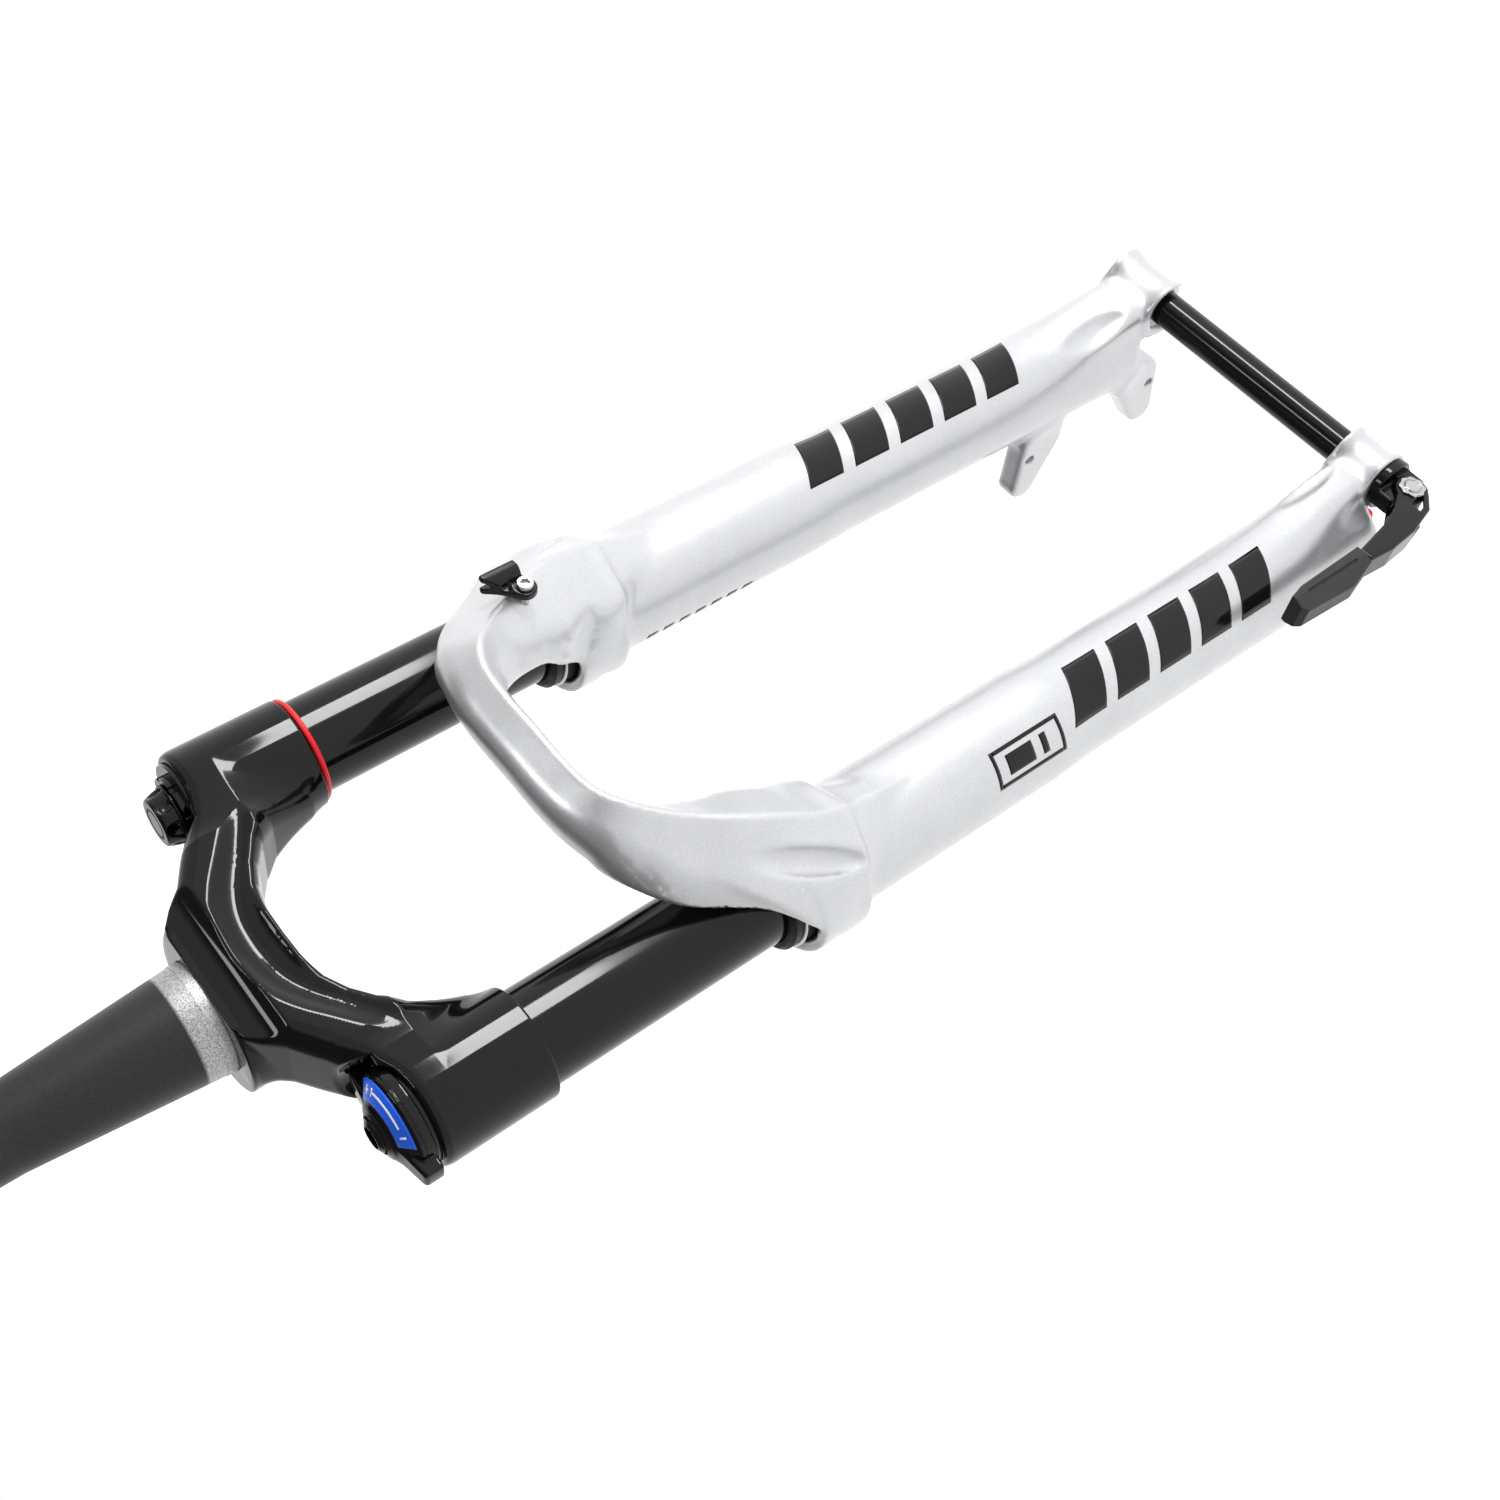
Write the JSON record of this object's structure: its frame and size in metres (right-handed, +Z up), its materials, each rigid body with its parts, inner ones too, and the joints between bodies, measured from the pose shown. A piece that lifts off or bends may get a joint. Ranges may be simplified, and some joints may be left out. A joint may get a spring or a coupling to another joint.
{
  "type": "bicycle suspension fork",
  "caption": "Telescopic bicycle suspension fork with tapered steerer, air spring leg, damper leg, disc brake posts and quick-release through axle.",
  "frame": {"origin": "on the steerer axis, on the crown's race shoulder", "axes": "+Z up the steerer, -Y to the front of the bicycle, +X to the rider's left"},
  "size_m": [0.2016, 0.1101, 0.7784],
  "materials": {
    "steerer_black": "satin black anodised, bare blasted race seat",
    "crown_black": "gloss black forged and polished",
    "stanchion_black": "gloss black hard anodised",
    "silver_paint": "silver metallic paint with clear coat on a magnesium casting",
    "machined_alloy": "machined, bare",
    "steel": "bright steel",
    "steel_black": "blackened steel",
    "brass": "bare",
    "rubber": "matte black",
    "red_rubber": "satin red",
    "foam": "open-cell foam, oiled",
    "black_plastic": "satin black moulded",
    "red_plastic": "moulded",
    "blue_alloy": "blue anodised, plain arrow marks",
    "red_alloy": "red anodised",
    "axle_black": "gloss black anodised",
    "grip_rubber": "charcoal, fine grain"
  },
  "bodies": {
    "upper": {"steerer_tube": "steerer_black", "fork_crown": "crown_black", "stanchion_left": "stanchion_black", "stanchion_right": "stanchion_black", "air_top_cap": "crown_black", "air_valve": "brass", "volume_spacer": "red_plastic", "air_seal_head": "machined_alloy", "air_retaining_ring": "steel", "damper_top_cap": "crown_black", "compression_valve": "machined_alloy", "damper_bladder": "rubber", "damper_tube": "machined_alloy", "damper_seal_head": "machined_alloy", "damper_retaining_ring": "steel"},
    "compression_dial": {"compression_knob": "crown_black", "compression_label": "blue_alloy", "compression_knob_screw": "steel"},
    "air_valve_cap": {"valve_cap": "black_plastic"},
    "sag_indicator": {"sag_ring": "red_rubber"},
    "lowers": {"lower_casting": "silver_paint", "wiper_left": "rubber", "wiper_right": "rubber", "garter_springs": "steel", "foam_rings": "foam", "bushings": "steel", "air_shaft": "machined_alloy", "air_piston": "machined_alloy", "air_piston_seal": "rubber", "topout_bumper": "rubber", "bottomout_bumper": "rubber", "damper_shaft": "steel", "damper_piston": "machined_alloy", "damper_piston_ring": "black_plastic", "foot_bolts": "steel_black", "crush_washers": "brass", "hose_guide": "black_plastic", "hose_guide_screw": "steel"},
    "rebound_dial": {"rebound_knob": "red_alloy", "rebound_rod": "machined_alloy"},
    "axle": {"axle_shaft": "axle_black", "axle_head": "axle_black", "lever_pin": "steel", "lever_pin_nut": "steel"},
    "lever": {"lever_arm": "axle_black", "lever_grip": "grip_rubber"}
  },
  "joints": [
    {"name": "travel", "type": "slide", "parent": "upper", "child": "lowers", "axis": [0, 0, 1], "range_m": [0, 0.085], "stiffness_N_per_m": 9000},
    {"name": "sag_ring_slide", "type": "slide", "parent": "upper", "child": "sag_indicator", "axis": [0, 0, -1], "range_m": [0, 0.0065]},
    {"name": "compression_turn", "type": "hinge", "parent": "upper", "child": "compression_dial", "pos_m": [-0.069, -0.008, -0.03], "axis": [0, 0, 1], "range_deg": [-90, 180]},
    {"name": "valve_cap_turn", "type": "hinge", "parent": "upper", "child": "air_valve_cap", "pos_m": [0.069, -0.008, -0.025], "axis": [0, 0, 1], "continuous": true},
    {"name": "rebound_turn", "type": "hinge", "parent": "lowers", "child": "rebound_dial", "pos_m": [-0.069, -0.008, -0.497], "axis": [0, 0, 1], "range_deg": [-180, 180]},
    {"name": "axle_turn", "type": "hinge", "parent": "lowers", "child": "axle", "pos_m": [0, -0.0343, -0.497], "axis": [1, 0, 0], "range_deg": [0, 180]},
    {"name": "lever_flip", "type": "hinge", "parent": "axle", "child": "lever", "pos_m": [-0.084, -0.0343, -0.497], "axis": [0, -1, 0], "range_deg": [0, 90]}
  ]
}
